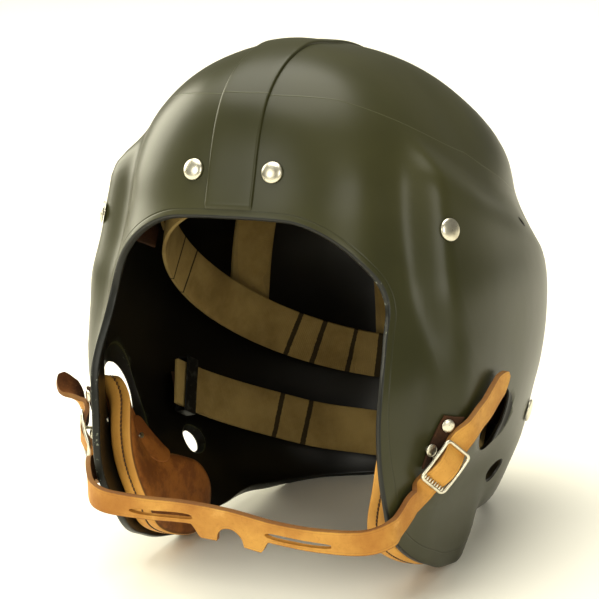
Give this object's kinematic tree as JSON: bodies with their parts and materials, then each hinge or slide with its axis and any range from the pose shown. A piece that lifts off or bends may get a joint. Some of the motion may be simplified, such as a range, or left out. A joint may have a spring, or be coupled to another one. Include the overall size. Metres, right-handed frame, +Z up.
{
  "type": "football helmet",
  "caption": "Moulded plastic football helmet with side flaps, a raised centre strip, webbing suspension, leather jaw pads and a slotted leather chin strap on two buckles.",
  "frame": {"origin": "middle of the bounding box in X and Y, on the surface the helmet rests on", "axes": "+X towards the wearer's left, +Y towards the back of the helmet, +Z up; the helmet leans back on its two side flaps and its neck rim"},
  "size_m": [0.2424, 0.2572, 0.2689],
  "materials": {
    "shell": "satin olive green moulded plastic with scuffs and a dark cut edge",
    "webbing": "matt cream cotton webbing, soiled with age",
    "leather": "tan leather with fuzzy cut edges",
    "dark_leather": "dark brown leather tabs",
    "nickel": "worn nickel plate",
    "clip": "dark grey lacquered metal"
  },
  "bodies": {
    "root": {"shell": "shell", "forehead_rivet_left": "nickel", "temple_rivet_left": "nickel", "rear_rivet_left": "nickel", "upper_stud_left": "nickel", "lower_stud_left": "nickel", "temple_tab_left": "dark_leather", "neck_tab_left": "dark_leather", "neck_clip_left": "clip", "jaw_pad_left": "leather", "buckle_tab_left": "dark_leather", "buckle_left": "nickel", "forehead_rivet_right": "nickel", "temple_rivet_right": "nickel", "rear_rivet_right": "nickel", "upper_stud_right": "nickel", "lower_stud_right": "nickel", "temple_tab_right": "dark_leather", "neck_tab_right": "dark_leather", "neck_clip_right": "clip", "jaw_pad_right": "leather", "buckle_tab_right": "dark_leather", "buckle_right": "nickel", "headband": "webbing", "neck_band": "webbing", "crown_strap_middle": "webbing", "crown_strap_right": "webbing", "crown_strap_left": "webbing", "chin_strap": "leather"}
  },
  "joints": []
}
